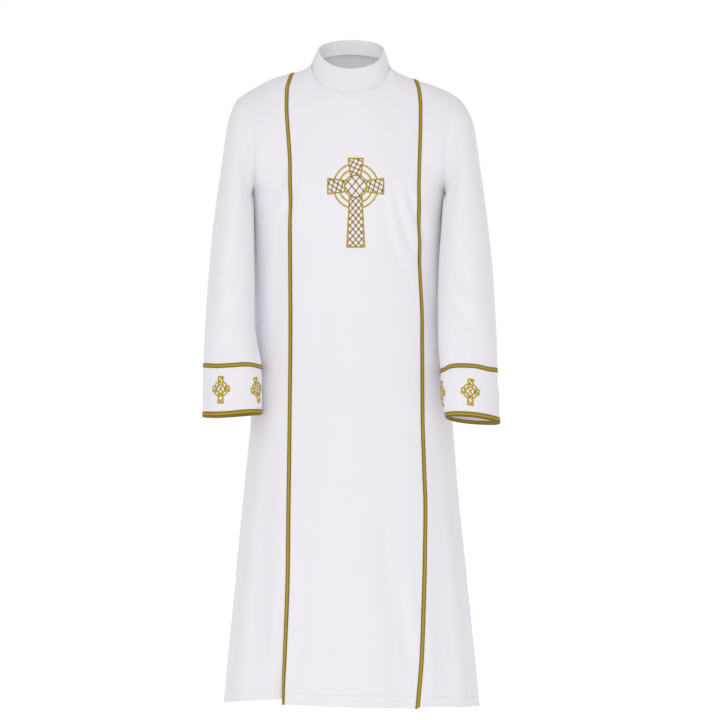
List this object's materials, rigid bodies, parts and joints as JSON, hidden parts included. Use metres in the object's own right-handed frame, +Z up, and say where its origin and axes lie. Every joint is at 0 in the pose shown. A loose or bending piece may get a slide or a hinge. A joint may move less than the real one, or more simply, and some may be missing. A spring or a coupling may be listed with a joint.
{
  "type": "clergy tunic",
  "caption": "Long flared tunic for clergy in its worn, hollow form, with a low standing collar, tapered sleeves with deep cuffs, and narrow ribbons down the front and round the cuffs.",
  "frame": {"origin": "base of the wearer's neck, midway between the shoulders, where the shoulders hold the tunic up", "axes": "+Z up along the garment's length, +X towards the wearer's left, -Y out of the front"},
  "size_m": [0.6302, 0.3406, 1.3972],
  "materials": {
    "white_cloth": "smooth white polyester weave, matt with a faint sheen",
    "gold_ribbon": "olive-gold woven satin ribbon with darker edges"
  },
  "bodies": {
    "root": {"front_centre": "white_cloth", "front_side_right": "white_cloth", "front_side_left": "white_cloth", "back_right": "white_cloth", "back_left": "white_cloth", "collar": "white_cloth", "back_placket": "white_cloth", "sleeve_right": "white_cloth", "sleeve_left": "white_cloth", "cuff_right": "white_cloth", "cuff_left": "white_cloth", "band_right": "gold_ribbon", "band_left": "gold_ribbon", "cuff_ribbon_upper_right": "gold_ribbon", "cuff_ribbon_lower_right": "gold_ribbon", "cuff_ribbon_upper_left": "gold_ribbon", "cuff_ribbon_lower_left": "gold_ribbon"}
  },
  "joints": []
}
